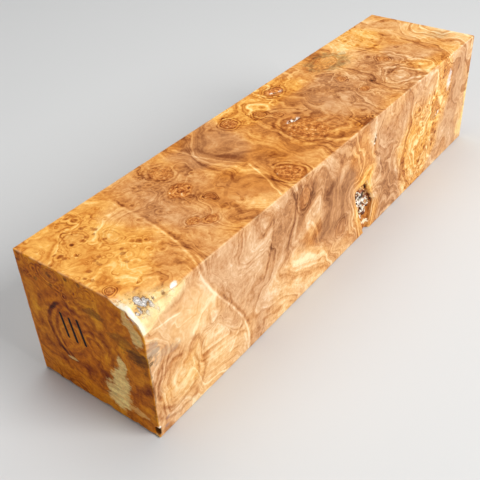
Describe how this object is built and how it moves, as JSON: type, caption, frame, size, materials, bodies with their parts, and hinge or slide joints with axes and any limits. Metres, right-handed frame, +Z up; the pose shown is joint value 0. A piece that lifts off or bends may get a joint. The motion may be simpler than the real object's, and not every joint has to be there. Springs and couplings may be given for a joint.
{
  "type": "burl turning blank",
  "caption": "Square-sawn block of maple burl for wood turning, with eyed swirling figure, a natural wane at one corner and a bark pocket in one long face.",
  "frame": {"origin": "middle of the bottom face, on the surface the blank lies on", "axes": "+Z up, +Y along the length away from the near end, +X towards the long face with the bark pocket"},
  "size_m": [0.0508, 0.216, 0.05],
  "materials": {
    "burl_wood": "sawn and sanded smooth, satin sheen"
  },
  "bodies": {
    "root": {"burl_blank": "burl_wood"}
  },
  "joints": []
}
